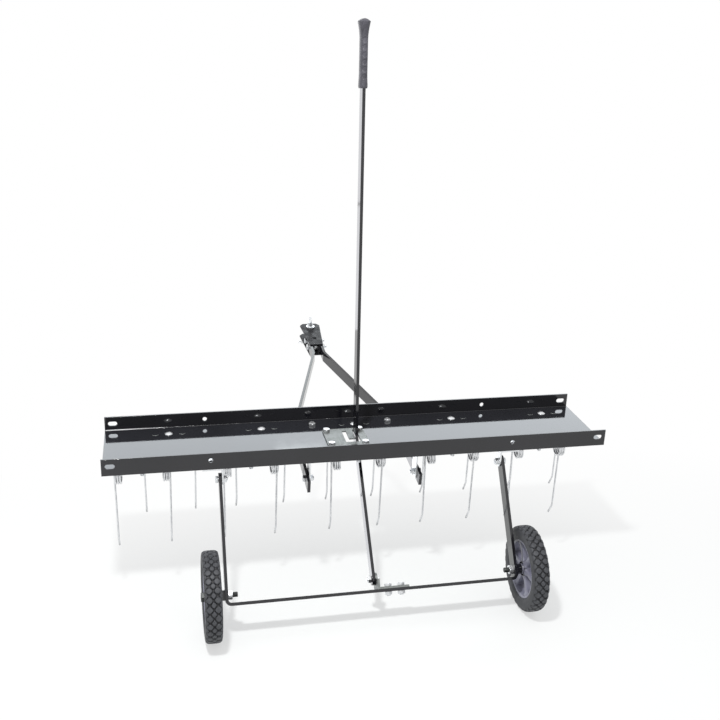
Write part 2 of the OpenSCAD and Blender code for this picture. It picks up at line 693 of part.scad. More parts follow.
module axle_hanger() color([0.72, 0.73, 0.75]) difference() {
    union() {
        translate([hanger_x, -pivot_y - hanger_half, under - hanger_t])
            cube([hanger_reach, hanger_bolt_y + pivot_y + 2 * hanger_half, hanger_t]);
        translate([hanger_x, -pivot_y - hanger_half, -pivot_z])
            cube([hanger_t, 2 * hanger_half, pivot_z + under]);
        translate([hanger_x, -pivot_y, -pivot_z]) along_x(1) cylinder(r = hanger_half, h = hanger_t);
    }
    translate([hanger_bolt_x, hanger_bolt_y, 0]) hole(hole_r, through);
    translate([leg_x, -pivot_y, -pivot_z]) along_x(1) hole(hole_r, through);
}

module hanger_bolts() color([0.75, 0.76, 0.78]) at_hangers() translate([0, 0, sheet_t])
    hex_bolt(bolt_d, bolt_af, head_h, sheet_t - under + hanger_t + nut_h + bolt_end);

module hanger_nuts() color([0.75, 0.76, 0.78]) at_hangers() translate([0, 0, under - hanger_t])
    nut(bolt_d, bolt_af, nut_h);

module at_pivots(x) for (s = [-1, 1]) translate([s * x, -pivot_y, -pivot_z]) along_x(s) children();

module pivot_bolts() color([0.75, 0.76, 0.78]) at_pivots(leg_out + side_gap)
    hex_bolt(bolt_d, bolt_af, head_h, leg_out + side_gap - hanger_x + nut_h + bolt_end);

module pivot_nuts() color([0.75, 0.76, 0.78]) at_pivots(hanger_x) nut(bolt_d, bolt_af, nut_h);

// Axle bar: a flat bar bent to a U, its width across the legs

module u_shape(grow, r) {
    low = -leg_l - bar_t / 2 + grow;
    half = leg_out - grow;
    translate([-half, low + r]) square([2 * half, 2 * leg_l]);
    translate([r - half, low]) square([2 * (half - r), r + e]);
    for (s = [-1, 1]) translate([s * (half - r), low + r]) circle(r);
}

module axle_bar() color([0.04, 0.04, 0.05]) leaned() difference() {
    intersection() {
        rotate([90, 0, 0]) linear_extrude(bar_w, center = true) difference() {
            u_shape(0, axle_bend_r);
            u_shape(bar_t, axle_bend_r - bar_t);
        }
        union() {
            translate([-leg_out - e, 0, 0]) along_x(1) cylinder(d = bar_w, h = 2 * leg_out + 2 * e);
            translate([-leg_out - e, -bar_w / 2, -leg_l - bar_t])
                cube([2 * leg_out + 2 * e, bar_w, leg_l + bar_t]);
        }
    }
    along_x(1) hole(bolt_r + run_clear, 2 * leg_x);
    translate([0, 0, -axle_at]) along_x(1) hole(axle_d / 2 + hole_clear, 2 * leg_x);
    for (x = bracket_bolts_x) translate([x, 0, -leg_l]) hole(hole_r, through);
}

module lever_bracket() color([0.74, 0.75, 0.77]) leaned() difference() {
    union() {
        translate([upright_x, -bar_w / 2, bar_t / 2 - leg_l])
            cube([lever_bracket_l, bar_w, lever_bracket_t]);
        translate([upright_x, -bar_w / 2, bar_t / 2 - leg_l])
            cube([lever_bracket_t, bar_w / 2 + lever_bolt_fwd + lever_eye_r, lever_bolt_up - bar_t / 2]);
        translate([upright_x, lever_bolt_fwd, -lever_s]) along_x(1)
            cylinder(r = lever_eye_r, h = lever_bracket_t);
    }
    for (x = bracket_bolts_x) translate([x, 0, -leg_l]) hole(hole_r, through);
    translate([0, lever_bolt_fwd, -lever_s]) along_x(1) hole(hole_r, through);
}

bracket_top = bar_t / 2 + lever_bracket_t - leg_l;

module lever_bracket_bolts() color([0.75, 0.76, 0.78]) leaned() for (x = bracket_bolts_x)
    translate([x, 0, bracket_top])
        hex_bolt(bolt_d, bolt_af, head_h, lever_bracket_t + bar_t + nut_h + bolt_end);

module lever_bracket_nuts() color([0.75, 0.76, 0.78]) leaned() for (x = bracket_bolts_x)
    translate([x, 0, -bar_t / 2 - leg_l]) nut(bolt_d, bolt_af, nut_h);

// Lift lever: a flat bar bent near the tray

module lever_run(w, l) translate([-w / 2, 0]) square([w, l]);

// Side view, forward to the right, from the lever bolt
module lever_side() {
    circle(d = lever_w + lever_round);
    rotate(-low_angle) lever_run(lever_w, low_run);
    translate([lever_bend_y - lever_by, lever_bend_z - lever_bz]) {
        circle(d = lever_w + lever_round);
        rotate(-up_angle) lever_run(lever_w, up_run);
    }
}

module lift_lever() color([0.05, 0.05, 0.06]) translate([-lever_t / 2, lever_by, lever_bz]) difference() {
    rotate([90, 0, 90]) linear_extrude(lever_t) lever_side();
    along_x(1) hole(bolt_r + run_clear, through);
}

module grip_part(t, z0, z1) translate([0, 0, z0]) linear_extrude(z1 - z0)
    stadium(t, lever_w + 2 * grip_wall + t - grip_t);

module lever_grip() color([0.16, 0.16, 0.17]) translate([0, lever_bend_y, lever_bend_z])
    rotate([-up_angle, 0, 0]) translate([0, 0, up_run]) difference() {
        union() {
            grip_part(grip_t, grip_collar_l - grip_lap - grip_l, grip_lap - grip_top_l);
            grip_part(grip_t + grip_collar_t, -grip_l, grip_collar_l - grip_l);
            intersection() {
                grip_part(grip_top_t, -grip_top_l, grip_cap + e);
                translate([0, 0, grip_cap - grip_dome_r]) sphere(grip_dome_r);
            }
        }
        translate([-lever_t / 2 - seat_gap, -lever_w / 2 - seat_gap, -grip_l - e])
            cube([lever_t + 2 * seat_gap, lever_w + 2 * seat_gap, grip_l + e + seat_gap]);
    }

module lever_bolt() color([0.75, 0.76, 0.78]) translate([upright_x + lever_bracket_t, lever_by, lever_bz])
    along_x(1) hex_bolt(bolt_d, bolt_af, head_h, 2 * upright_x + lever_bracket_t + nut_h + bolt_end);

module lever_nut() color([0.75, 0.76, 0.78]) translate([-upright_x, lever_by, lever_bz])
    along_x(1) nut(bolt_d, bolt_af, nut_h);

// Wheels

// Half a tyre's outline, radius and distance from its side
tyre_side = [[rim_r, bead_in], [rim_r + bead_h, bulge], [wheel_r - shoulder_h, 0],
    [wheel_r - shoulder_cut, shoulder_cut], [wheel_r, tread_inset]];

module tyre() color([0.1, 0.1, 0.11]) translate([wheel_x, axle_y, axle_z]) along_x(1) rotate_extrude()
    difference() {
        polygon(concat([for (p = tyre_side) [p[0], p[1] - tyre_w / 2]],
            [for (i = [len(tyre_side) - 1 : -1 : 0]) [tyre_side[i][0], tyre_w / 2 - tyre_side[i][1]]]));
        for (s = [-1, 1]) translate([wheel_r, s * tyre_w / 6])
            square([2 * groove_depth, groove_w], center = true);
    }

module rim() color([0.42, 0.41, 0.45]) translate([wheel_x, axle_y, axle_z]) along_x(1) difference() {
    union() {
        rotate_extrude() translate([rim_r - rim_wall, -rim_w / 2])
            square([rim_wall - seat_gap, rim_w]);
        cylinder(r = hub_r, h = rim_w, center = true);
        for (i = [0 : spokes - 1]) rotate(i * 360 / spokes)
            translate([hub_r - spoke_lap, -spoke_w / 2, spoke_inset - rim_w / 2])
                cube([rim_r - rim_wall - hub_r + 2 * spoke_lap, spoke_w, rim_w - 2 * spoke_inset]);
    }
    hole(axle_d / 2 + run_clear, rim_w);
}

module at_axle(x) for (s = [-1, 1]) translate([s * x, axle_y, axle_z]) along_x(s) children();

module axle_bolts() color([0.75, 0.76, 0.78]) at_axle(rim_out + side_gap)
    hex_bolt(axle_d, axle_af, axle_head_h, rim_out + side_gap - leg_in + axle_nut_h + axle_bolt_end);

module axle_nuts() color([0.78, 0.79, 0.81]) at_axle(leg_in) nut(axle_d, axle_af, axle_nut_h);

module axle_spacers() color([0.06, 0.06, 0.07]) at_axle(leg_out) difference() {
    cylinder(r = axle_d / 2 + spacer_wall, h = rim_in - side_gap - leg_out);
    hole(axle_d / 2 + hole_clear, through);
}

// Assembly

module left() mirror([1, 0, 0]) children();

placed() weight_tray();
placed() rotate([0, 0, 180]) angle_bar();  // front_angle
placed() angle_bar();  // rear_angle
placed() front_tine(0);  // front_tine_1
placed() front_tine(1);  // front_tine_2
placed() front_tine(2);  // front_tine_3
placed() front_tine(3);  // front_tine_4
placed() front_tine(4);  // front_tine_5
placed() rear_tine(0);  // rear_tine_1
placed() rear_tine(1);  // rear_tine_2
placed() rear_tine(2);  // rear_tine_3
placed() rear_tine(3);  // rear_tine_4
placed() rear_tine(4);  // rear_tine_5
placed() tine_clips();
placed() tine_bolts();
placed() tine_nuts();
placed() lever_gate_plate();
placed() gate_bolts();
placed() gate_nuts();
placed() left() front_bracket();  // left_front_bracket
placed() front_bracket();  // right_front_bracket
placed() left() rear_bracket();  // left_rear_bracket
placed() rear_bracket();  // right_rear_bracket
placed() bracket_bolts();
placed() bracket_nuts();
placed() left() drawbar();  // left_drawbar
placed() drawbar();  // right_drawbar
placed() drawbar_bolts();
placed() drawbar_nuts();
placed() hitch_upper_plate();
placed() hitch_lower_plate();
placed() hitch_bolts();
placed() hitch_nuts();
placed() hitch_pin();
placed() hitch_clip();
placed() left() axle_hanger();  // left_axle_hanger
placed() axle_hanger();  // right_axle_hanger
placed() hanger_bolts();
placed() hanger_nuts();
placed() pivot_bolts();
placed() pivot_nuts();
placed() axle_bar();
placed() lever_bracket();
placed() lever_bracket_bolts();
placed() lever_bracket_nuts();
placed() lift_lever();
placed() lever_grip();
placed() lever_bolt();
placed() lever_nut();
placed() left() tyre();  // left_tyre
placed() tyre();  // right_tyre
placed() left() rim();  // left_rim
placed() rim();  // right_rim
placed() axle_bolts();
placed() axle_nuts();
placed() axle_spacers();
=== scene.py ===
"""Looks of a tow-behind spring-tine dethatcher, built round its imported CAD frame.

Everything is in metres in the row frame. Sizes below are millimetres, as in the part's source.
"""

import json
import math

import bmesh
import bpy
from mathutils import Matrix, Vector

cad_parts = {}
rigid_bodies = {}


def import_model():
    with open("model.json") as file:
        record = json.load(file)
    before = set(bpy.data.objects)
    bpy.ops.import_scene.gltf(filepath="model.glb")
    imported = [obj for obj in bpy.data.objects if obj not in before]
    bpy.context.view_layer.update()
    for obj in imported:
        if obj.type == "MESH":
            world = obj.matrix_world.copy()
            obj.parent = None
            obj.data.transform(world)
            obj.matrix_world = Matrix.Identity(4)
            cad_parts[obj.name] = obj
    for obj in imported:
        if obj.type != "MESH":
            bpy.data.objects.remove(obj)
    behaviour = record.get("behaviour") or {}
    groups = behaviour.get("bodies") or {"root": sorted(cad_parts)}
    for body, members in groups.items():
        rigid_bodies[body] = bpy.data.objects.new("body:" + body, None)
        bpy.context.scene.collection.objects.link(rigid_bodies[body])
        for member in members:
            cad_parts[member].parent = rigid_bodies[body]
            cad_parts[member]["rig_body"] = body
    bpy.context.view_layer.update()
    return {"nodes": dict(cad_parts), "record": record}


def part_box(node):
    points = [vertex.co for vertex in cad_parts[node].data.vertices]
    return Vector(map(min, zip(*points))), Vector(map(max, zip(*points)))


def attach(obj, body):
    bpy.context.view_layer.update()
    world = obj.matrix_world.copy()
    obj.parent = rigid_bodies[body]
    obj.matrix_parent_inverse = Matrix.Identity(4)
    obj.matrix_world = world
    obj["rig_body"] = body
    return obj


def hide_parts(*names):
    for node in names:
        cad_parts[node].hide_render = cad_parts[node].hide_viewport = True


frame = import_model()
nodes = frame["nodes"]

MM = 0.001
tray_low, tray_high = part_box("weight_tray")
TRAY_MID = Vector((0, (tray_low.y + tray_high.y) / 2, tray_low.z))

# Sizes that the CAD part also has, in millimetres
WIRE_D = 3.8
COIL_R = 14.5
COIL_PITCH = 4.6
COIL_TURNS = 3.25
TINE_HALF = 53
LEG_TOE = 1.5
BRIDGE_BACK = 12
BRIDGE_R = 8
BRIDGE_Z = -7.5
TINE_DROP = 192
TIP_H = 25
TIP_ANGLE = 30
BOLT_D = 8
BOLT_AF = 13
HEAD_H = 5.3
DOME_H = 4
DOME_R = 8.5
AXLE_D = 10
AXLE_AF = 17
AXLE_HEAD_H = 6.3
LEG_ANGLE = 34.2
WHEEL_R = 85.8
RIM_R = 59
RIM_W = 26
HUB_R = 17
SPOKES = 6
LEVER_W = 24
LEVER_BEND = (8, 0)
LEVER_TOP = (66, 812)
GRIP_L = 118.5
GRIP_T = 15
GRIP_TOP_T = 23.5
GRIP_WALL = 3

# The photograph's camera: place from the tray's middle in millimetres, then degrees
CAMERA_AT = (-398.0, -1761.149, 845.0)
CAMERA_HEADING = 12.784
CAMERA_DIP = 20.468
CAMERA_ROLL = 2.192
CAMERA_LENS = 47.9125


def at_tray(x, y, z):
    """A point given in millimetres from the middle of the tray sheet's underside."""
    return TRAY_MID + Vector((x, y, z)) * MM


# Mesh helpers


def loft(rings, closed=False):
    """Faces between rings of equally many points; open lofts get a flat cap at each end."""
    count = len(rings[0])
    verts = [p for ring in rings for p in ring]
    faces = []
    last = len(rings) if closed else len(rings) - 1
    for i in range(last):
        a, b = i * count, (i + 1) % len(rings) * count
        for k in range(count):
            n = (k + 1) % count
            faces.append((a + k, a + n, b + n, b + k))
    if not closed:
        faces.append(tuple(range(count))[::-1])
        faces.append(tuple(range((len(rings) - 1) * count, len(rings) * count)))
    return verts, faces


def circle(radius, z, count=48):
    return [
        (radius * math.cos(2 * math.pi * k / count), radius * math.sin(2 * math.pi * k / count), z)
        for k in range(count)
    ]


def lathe(profile, count=96):
    """A closed outline of (radius, height) turned round the Z axis."""
    return loft([circle(r, z, count) for r, z in profile], closed=True)


def join(parts):
    """One vertex and face list from several, each with its matrix."""
    verts, faces = [], []
    for (part_verts, part_faces), matrix in parts:
        start = len(verts)
        verts += [matrix @ Vector(v) for v in part_verts]
        faces += [tuple(start + i for i in f) for f in part_faces]
    return verts, faces


def build(name, shape, material, body, replaced=(), crease=32):
    """An outward-facing object from a vertex and face list in metres, set on its CAD body."""
    mesh = bpy.data.meshes.new(name)
    mesh.from_pydata([tuple(v) for v in shape[0]], [], shape[1])
    bm = bmesh.new()
    bm.from_mesh(mesh)
    bmesh.ops.recalc_face_normals(bm, faces=bm.faces)
    bm.to_mesh(mesh)
    bm.free()
    mesh.shade_smooth()
    mesh.set_sharp_from_angle(angle=math.radians(crease))
    mesh.materials.append(material)
    obj = bpy.data.objects.new(name, mesh)
    bpy.context.scene.collection.objects.link(obj)
    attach(obj, body)
    if replaced:
        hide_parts(*replaced)
    return obj


def solids(node):
    """The points of each separate solid of a CAD node."""
    bm = bmesh.new()
    bm.from_mesh(nodes[node].data)
    bmesh.ops.remove_doubles(bm, verts=bm.verts, dist=1e-6)
    seen, found = set(), []
    for first in bm.verts:
        if first in seen:
            continue
        stack, island = [first], []
        seen.add(first)
        while stack:
            v = stack.pop()
            island.append(v.co.copy())
            for edge in v.link_edges:
                other = edge.other_vert(v)
                if other not in seen:
                    seen.add(other)
                    stack.append(other)
        found.append(island)
    bm.free()
    return found


def along(axis):
    """A matrix that turns local Z to the axis."""
    return Vector(axis).normalized().to_track_quat("Z", "Y").to_matrix().to_4x4()


# Materials


def new_material(name):
    material = bpy.data.materials.new(name)
    material.use_nodes = True
    return material, material.node_tree, material.node_tree.nodes["Principled BSDF"]


def noise(tree, scale, detail=3.0, stretch=(1, 1, 1)):
    """The factor of a noise texture on the object's own coordinates."""
    coords = tree.nodes.new("ShaderNodeTexCoord")
    mapping = tree.nodes.new("ShaderNodeMapping")
    mapping.inputs["Scale"].default_value = stretch
    texture = tree.nodes.new("ShaderNodeTexNoise")
    texture.inputs["Scale"].default_value = scale
    texture.inputs["Detail"].default_value = detail
    tree.links.new(coords.outputs["Object"], mapping.inputs["Vector"])
    tree.links.new(mapping.outputs["Vector"], texture.inputs["Vector"])
    return texture.outputs["Fac"]


def spread(tree, factor, low, high, start=0.3, stop=0.7):
    """The factor between start and stop, mapped to low..high."""
    node = tree.nodes.new("ShaderNodeMapRange")
    node.inputs["From Min"].default_value = start
    node.inputs["From Max"].default_value = stop
    node.inputs["To Min"].default_value = low
    node.inputs["To Max"].default_value = high
    tree.links.new(factor, node.inputs["Value"])
    return node.outputs["Result"]


def blend_colour(tree, factor, first, second):
    node = tree.nodes.new("ShaderNodeMix")
    node.data_type = "RGBA"
    for name, value in (("A", first), ("B", second)):
        socket = [s for s in node.inputs if s.name == name and s.type == "RGBA"][0]
        if isinstance(value, tuple):
            socket.default_value = (*value, 1)
        else:
            tree.links.new(value, socket)
    tree.links.new(factor, node.inputs["Factor"])
    return [s for s in node.outputs if s.type == "RGBA"][0]


def soft_edges(tree, radius):
    """Normals rounded over an edge of that radius in millimetres, and how near the edge is."""
    bevel = tree.nodes.new("ShaderNodeBevel")
    bevel.samples = 6
    bevel.inputs["Radius"].default_value = radius * MM
    geometry = tree.nodes.new("ShaderNodeNewGeometry")
    dot = tree.nodes.new("ShaderNodeVectorMath")
    dot.operation = "DOT_PRODUCT"
    tree.links.new(bevel.outputs["Normal"], dot.inputs[0])
    tree.links.new(geometry.outputs["Normal"], dot.inputs[1])
    return bevel.outputs["Normal"], spread(tree, dot.outputs["Value"], 1, 0, 0.75, 0.98)


def bump(tree, height, strength, distance, normal=None):
    node = tree.nodes.new("ShaderNodeBump")
    node.inputs["Strength"].default_value = strength
    node.inputs["Distance"].default_value = distance * MM
    tree.links.new(height, node.inputs["Height"])
    if normal:
        tree.links.new(normal, node.inputs["Normal"])
    return node.outputs["Normal"]


def black_paint(name, dark, light, rough, specular):
    """Black powder coat with a faint orange peel and thin paint on the edges."""
    material, tree, bsdf = new_material(name)
    normal, edge = soft_edges(tree, 0.9)
    plain = blend_colour(tree, spread(tree, noise(tree, 9, 4), 0, 1), dark, light)
    worn = blend_colour(tree, spread(tree, edge, 0, 0.5, 0, 1), plain, (0.05, 0.05, 0.055))
    tree.links.new(worn, bsdf.inputs["Base Color"])
    tree.links.new(spread(tree, noise(tree, 60, 4), rough * 0.7, rough * 1.4), bsdf.inputs["Roughness"])
    tree.links.new(bump(tree, noise(tree, 420, 2), 0.03, 0.12, normal), bsdf.inputs["Normal"])
    bsdf.inputs["IOR"].default_value = 1.58
    bsdf.inputs["Specular IOR Level"].default_value = specular
    return material


def painted_highlight_end(material, highlight_full_x, painted):
    """A painted highlight: light grey left of one X in millimetres, fading into the material's paint at the other."""
    tree = material.node_tree
    base = tree.nodes["Principled BSDF"].inputs["Base Color"]
    paint = base.links[0].from_socket
    coords = tree.nodes.new("ShaderNodeTexCoord")
    split = tree.nodes.new("ShaderNodeSeparateXYZ")
    tree.links.new(coords.outputs["Object"], split.inputs["Vector"])
    factor = spread(tree, split.outputs["X"], 1, 0, highlight_full_x * MM, painted * MM)
    tree.links.new(blend_colour(tree, factor, paint, (0.8, 0.8, 0.82)), base)


def zinc():
    """Bright zinc plate: a clouded metal with a blue cast and dull specks."""
    material, tree, bsdf = new_material("zinc")
    normal, edge = soft_edges(tree, 0.5)
    cloud = spread(tree, noise(tree, 70, 5), 0, 1)
    plate = blend_colour(tree, cloud, (0.66, 0.68, 0.70), (0.84, 0.85, 0.86))
    bright = blend_colour(tree, spread(tree, edge, 0, 0.6, 0, 1), plate, (0.90, 0.91, 0.92))
    tree.links.new(bright, bsdf.inputs["Base Color"])
    bsdf.inputs["Metallic"].default_value = 1
    tree.links.new(spread(tree, noise(tree, 240, 3), 0.22, 0.4), bsdf.inputs["Roughness"])
    tree.links.new(bump(tree, noise(tree, 900, 2), 0.06, 0.1, normal), bsdf.inputs["Normal"])
    return material


def dull_zinc_with_painted_shade(name, shade):
    """Duller passivated plate with scuffs; a shade below 1 darkens the whole plate as painted shade."""

    def tone(*colour):
        return tuple(c * shade for c in colour)

    material, tree, bsdf = new_material(name)
    normal, edge = soft_edges(tree, 0.5)
    cloud = spread(tree, noise(tree, 45, 5), 0, 1)
    plate = blend_colour(tree, cloud, tone(0.20, 0.212, 0.206), tone(0.265, 0.276, 0.272))
    scuff = spread(tree, noise(tree, 300, 3, (1, 0.08, 1)), 0, 0.4, 0.5, 0.75)
    scuffed = blend_colour(tree, scuff, plate, tone(0.36, 0.38, 0.37))
    bright = blend_colour(tree, spread(tree, edge, 0, 0.5, 0, 1), scuffed, tone(0.42, 0.44, 0.43))
    tree.links.new(bright, bsdf.inputs["Base Color"])
    bsdf.inputs["Metallic"].default_value = 1
    tree.links.new(spread(tree, noise(tree, 200, 3), 0.4, 0.52), bsdf.inputs["Roughness"])
    tree.links.new(bump(tree, noise(tree, 700, 2), 0.08, 0.1, normal), bsdf.inputs["Normal"])
    return material


def spring_wire():
    """Plated spring wire with drawing lines."""
    material, tree, bsdf = new_material("spring_wire")
    lines = noise(tree, 500, 3, (1, 1, 0.04))
    cloud = spread(tree, noise(tree, 60, 4), 0, 1)
    tree.links.new(blend_colour(tree, cloud, (0.64, 0.65, 0.67), (0.80, 0.81, 0.82)), bsdf.inputs["Base Color"])
    bsdf.inputs["Metallic"].default_value = 1
    tree.links.new(spread(tree, lines, 0.24, 0.42), bsdf.inputs["Roughness"])
    tree.links.new(bump(tree, lines, 0.1, 0.08), bsdf.inputs["Normal"])
    return material


def tyre_rubber():
    """Moulded rubber, dusty and lighter on the tread's block tops, with painted shade making its grooves near black.
    """
    material, tree, bsdf = new_material("tyre_rubber")
    height = tree.nodes.new("ShaderNodeAttribute")
    height.attribute_name = "block"
    grain = noise(tree, 260, 5)
    wall = blend_colour(tree, spread(tree, grain, 0, 1), (0.024, 0.025, 0.029), (0.042, 0.044, 0.050))
    dust = blend_colour(tree, spread(tree, grain, 0, 1), (0.042, 0.044, 0.050), (0.072, 0.075, 0.084))
    # Painted shade: where the block height falls away, the grooves go to near black.
    rubber = blend_colour(tree, spread(tree, height.outputs["Fac"], 0, 1, 0.05, 0.3), (0.006, 0.006, 0.008), wall)
    top = tree.nodes.new("ShaderNodeMath")
    top.operation = "MULTIPLY"
    tree.links.new(spread(tree, height.outputs["Fac"], 0, 1, 0.5, 1), top.inputs[0])
    tree.links.new(spread(tree, noise(tree, 40, 3), 0.55, 1), top.inputs[1])
    tree.links.new(blend_colour(tree, top.outputs["Value"], rubber, dust), bsdf.inputs["Base Color"])
    tree.links.new(spread(tree, grain, 0.5, 0.68), bsdf.inputs["Roughness"])
    tree.links.new(bump(tree, grain, 0.25, 0.2), bsdf.inputs["Normal"])
    return material


def rim_plastic():
    """Moulded grey plastic with a violet cast and a fine spark-eroded grain, with painted shade in its recesses."""
    material, tree, bsdf = new_material("rim_plastic")
    normal, edge = soft_edges(tree, 0.6)
    cloud = spread(tree, noise(tree, 30, 4), 0, 1)
    body = blend_colour(tree, cloud, (0.185, 0.185, 0.245), (0.235, 0.235, 0.300))
    worn = blend_colour(tree, spread(tree, edge, 0, 0.5, 0, 1), body, (0.36, 0.36, 0.42))
    # Painted shade: ambient occlusion darkens the recesses between the spokes towards near black.
    recess = tree.nodes.new("ShaderNodeAmbientOcclusion")
    recess.samples = 8
    recess.inputs["Distance"].default_value = 22 * MM
    recess_shade = blend_colour(tree, spread(tree, recess.outputs["AO"], 0, 1, 0.35, 0.9), (0.022, 0.022, 0.034), worn)
    tree.links.new(recess_shade, bsdf.inputs["Base Color"])
    tree.links.new(spread(tree, noise(tree, 500, 2), 0.3, 0.42), bsdf.inputs["Roughness"])
    tree.links.new(bump(tree, noise(tree, 1100, 2), 0.12, 0.1, normal), bsdf.inputs["Normal"])
    return material


def grip_rubber():
    """Soft dark rubber with a pebbled grain and pale handling marks."""
    material, tree, bsdf = new_material("grip_rubber")
    pebble = noise(tree, 330, 3)
    cloud = spread(tree, noise(tree, 55, 4), 0, 1)
    tree.links.new(blend_colour(tree, cloud, (0.030, 0.029, 0.037), (0.080, 0.078, 0.094)), bsdf.inputs["Base Color"])
    tree.links.new(spread(tree, pebble, 0.5, 0.7), bsdf.inputs["Roughness"])
    tree.links.new(bump(tree, pebble, 0.2, 0.3), bsdf.inputs["Normal"])
    bsdf.inputs["Sheen Weight"].default_value = 0.35
    bsdf.inputs["Sheen Roughness"].default_value = 0.3
    return material


PAINT = black_paint("gloss_black", (0.006, 0.006, 0.008), (0.010, 0.010, 0.013), 0.07, 0.5)
DUSTY = black_paint("dusty_black", (0.014, 0.0145, 0.018), (0.020, 0.021, 0.026), 0.06, 0.5)
SEAM = black_paint("seam_black", (0.006, 0.006, 0.008), (0.010, 0.010, 0.013), 0.24, 0.5)
# Painted highlight: the seam bead turns light grey at its left end.
painted_highlight_end(SEAM, -470, -380)
SATIN = black_paint("satin_black", (0.009, 0.009, 0.011), (0.014, 0.014, 0.016), 0.4, 0.12)
ZINC = zinc()
GATE = dull_zinc_with_painted_shade("gate_zinc", 1)
# Painted shade: the same plate darkened to about a third, for the axle bolts.
SHADED_ZINC = dull_zinc_with_painted_shade("painted_shade_zinc", 0.32)
WIRE = spring_wire()
TYRE = tyre_rubber()
RIM = rim_plastic()
GRIP = grip_rubber()
FINISHES = {
    "black_paint": PAINT,
    "zinc": ZINC,
    "spring_wire": WIRE,
    "tyre": TYRE,
    "rim_plastic": RIM,
    "grip_rubber": GRIP,
}


def dress_frame():
    """Every CAD node that stays gets the finish of its material slot."""
    for subpart in frame["record"]["subparts"]:
        mesh = nodes[subpart["node"]].data
        mesh.materials.clear()
        mesh.materials.append(FINISHES[subpart["material_slot"]])
    for name in ("lever_gate_plate", "lever_bracket"):
        nodes[name].data.materials[0] = GATE
    for name in ("hitch_upper_plate", "hitch_lower_plate"):
        nodes[name].data.materials[0] = SATIN
    nodes["weight_tray"].data.materials[0] = DUSTY


# Tines


def tine_line():
    """The wire's middle line from one tip to the other, in millimetres from the tine's bolt."""
    coil_in = TINE_HALF - COIL_PITCH * COIL_TURNS
    coil_z = BRIDGE_Z - COIL_R
    half = [Vector((x, -BRIDGE_BACK, BRIDGE_Z)) for x in (0, (coil_in - BRIDGE_R) / 2)]
    for a in range(0, 91, 15):
        turn = math.radians(a)
        half.append(Vector((
            coil_in - BRIDGE_R + BRIDGE_R * math.sin(turn),
            BRIDGE_R * (1 - math.cos(turn)) - BRIDGE_BACK,
            BRIDGE_Z,
        )))
    steps = round(COIL_TURNS * 28)
    for i in range(steps + 1):
        done = COIL_TURNS * i / steps
        turn = math.radians(90 - 360 * done)
        half.append(Vector((
            coil_in + COIL_PITCH * done, COIL_R * math.cos(turn), coil_z + COIL_R * math.sin(turn)
        )))
    tip = math.radians(TIP_ANGLE)
    tip_z = WIRE_D / 2 * math.sin(tip) - TINE_DROP
    bend = 12
    corner = tip_z + TIP_H
    reach = bend * math.tan(tip / 2)
    foot = TINE_HALF - LEG_TOE
    half.append(Vector(((TINE_HALF + foot) / 2, COIL_R, (coil_z + corner + reach) / 2)))
    half.append(Vector((foot, COIL_R, corner + reach)))
    for k in range(1, 6):
        turn = tip * k / 5
        half.append(Vector((
            foot, COIL_R + bend * (1 - math.cos(turn)), corner + reach - bend * math.sin(turn)
        )))
    half.append(Vector((foot, COIL_R + TIP_H * math.tan(tip), tip_z)))
    left = [Vector((-p.x, p.y, p.z)) for p in reversed(half[1:])]
    return left + half


def tube(line, radius, sides=12):
    """A round tube along a line, with chamfered ends."""
    rings = []
    up = Vector((0, 0, 1))
    for i, p in enumerate(line):
        ahead = (line[min(i + 1, len(line) - 1)] - line[max(i - 1, 0)]).normalized()
        if i == 0:
            up = Vector((1, 0, 0)) if abs(ahead.x) < 0.9 else Vector((0, 0, 1))
        up = (up - ahead * up.dot(ahead)).normalized()
        side = ahead.cross(up)
        ring = []
        for k in range(sides):
            a = 2 * math.pi * k / sides
            ring.append((up * math.cos(a) + side * math.sin(a), p, ahead))
        rings.append(ring)
    cut = radius * 0.3
    first = [[p + out * (radius - cut) for out, p, _ in rings[0]],
             [p + out * radius + ahead * cut for out, p, ahead in rings[0]]]
    middle = [[p + out * radius for out, p, _ in ring] for ring in rings[1:-1]]
    last = [[p + out * radius - ahead * cut for out, p, ahead in rings[-1]],
            [p + out * (radius - cut) for out, p, _ in rings[-1]]]
    return loft(first + middle + last)


def tines():
    """Round wire for every tine; returns the pieces."""
    verts, faces = tube(tine_line(), WIRE_D / 2)
    wires = []
    for row in ("front", "rear"):
        for i in range(1, 6):
            node = f"{row}_tine_{i}"
            low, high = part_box(node)
            bolt = Vector(((low.x + high.x) / 2, low.y + (COIL_R + WIRE_D / 2) * MM, TRAY_MID.z))
            shape = [bolt + Vector(v) * MM for v in verts], faces
            wires.append(build(f"{node}_wire", shape, WIRE, "tray", [node], 60))
    return wires


# Fasteners

RING = 48
THREAD_PITCH = 1.25
THREAD_DEPTH = 0.55


def hexagon(flats, z, count=RING):
    """A hexagon's outline as a ring of points, with its corners as the distance out."""
    ring = []
    for k in range(count):
        a = 2 * math.pi * k / count
        r = flats / 2 / math.cos((a + math.pi / 6) % (math.pi / 3) - math.pi / 6)
        ring.append((r * math.cos(a), r * math.sin(a), z))
    return ring


def chamfered(flats, z, down):
    """A hexagon's outline whose corners drop from z, as a turned chamfer leaves them."""
    face = flats / 2 * 0.96
    slope = math.tan(math.radians(30)) * down
    return [(x, y, z - slope * max(0, math.hypot(x, y) - face)) for x, y, _ in hexagon(flats, z)]


def thread(diameter, top, bottom):
    """Rings of a screw thread going down, ending in a chamfered point."""
    rings = [circle(diameter / 2, top, RING)]
    z = top
    while z - THREAD_PITCH > bottom + 0.8:
        rings.append(circle(diameter / 2 - THREAD_DEPTH, z - THREAD_PITCH / 2, RING))
        z -= THREAD_PITCH
        rings.append(circle(diameter / 2, z, RING))
    rings.append(circle(diameter / 2 - 0.1, bottom + 0.8, RING))
    rings.append(circle(diameter / 2 - 0.8, bottom, RING))
    return rings


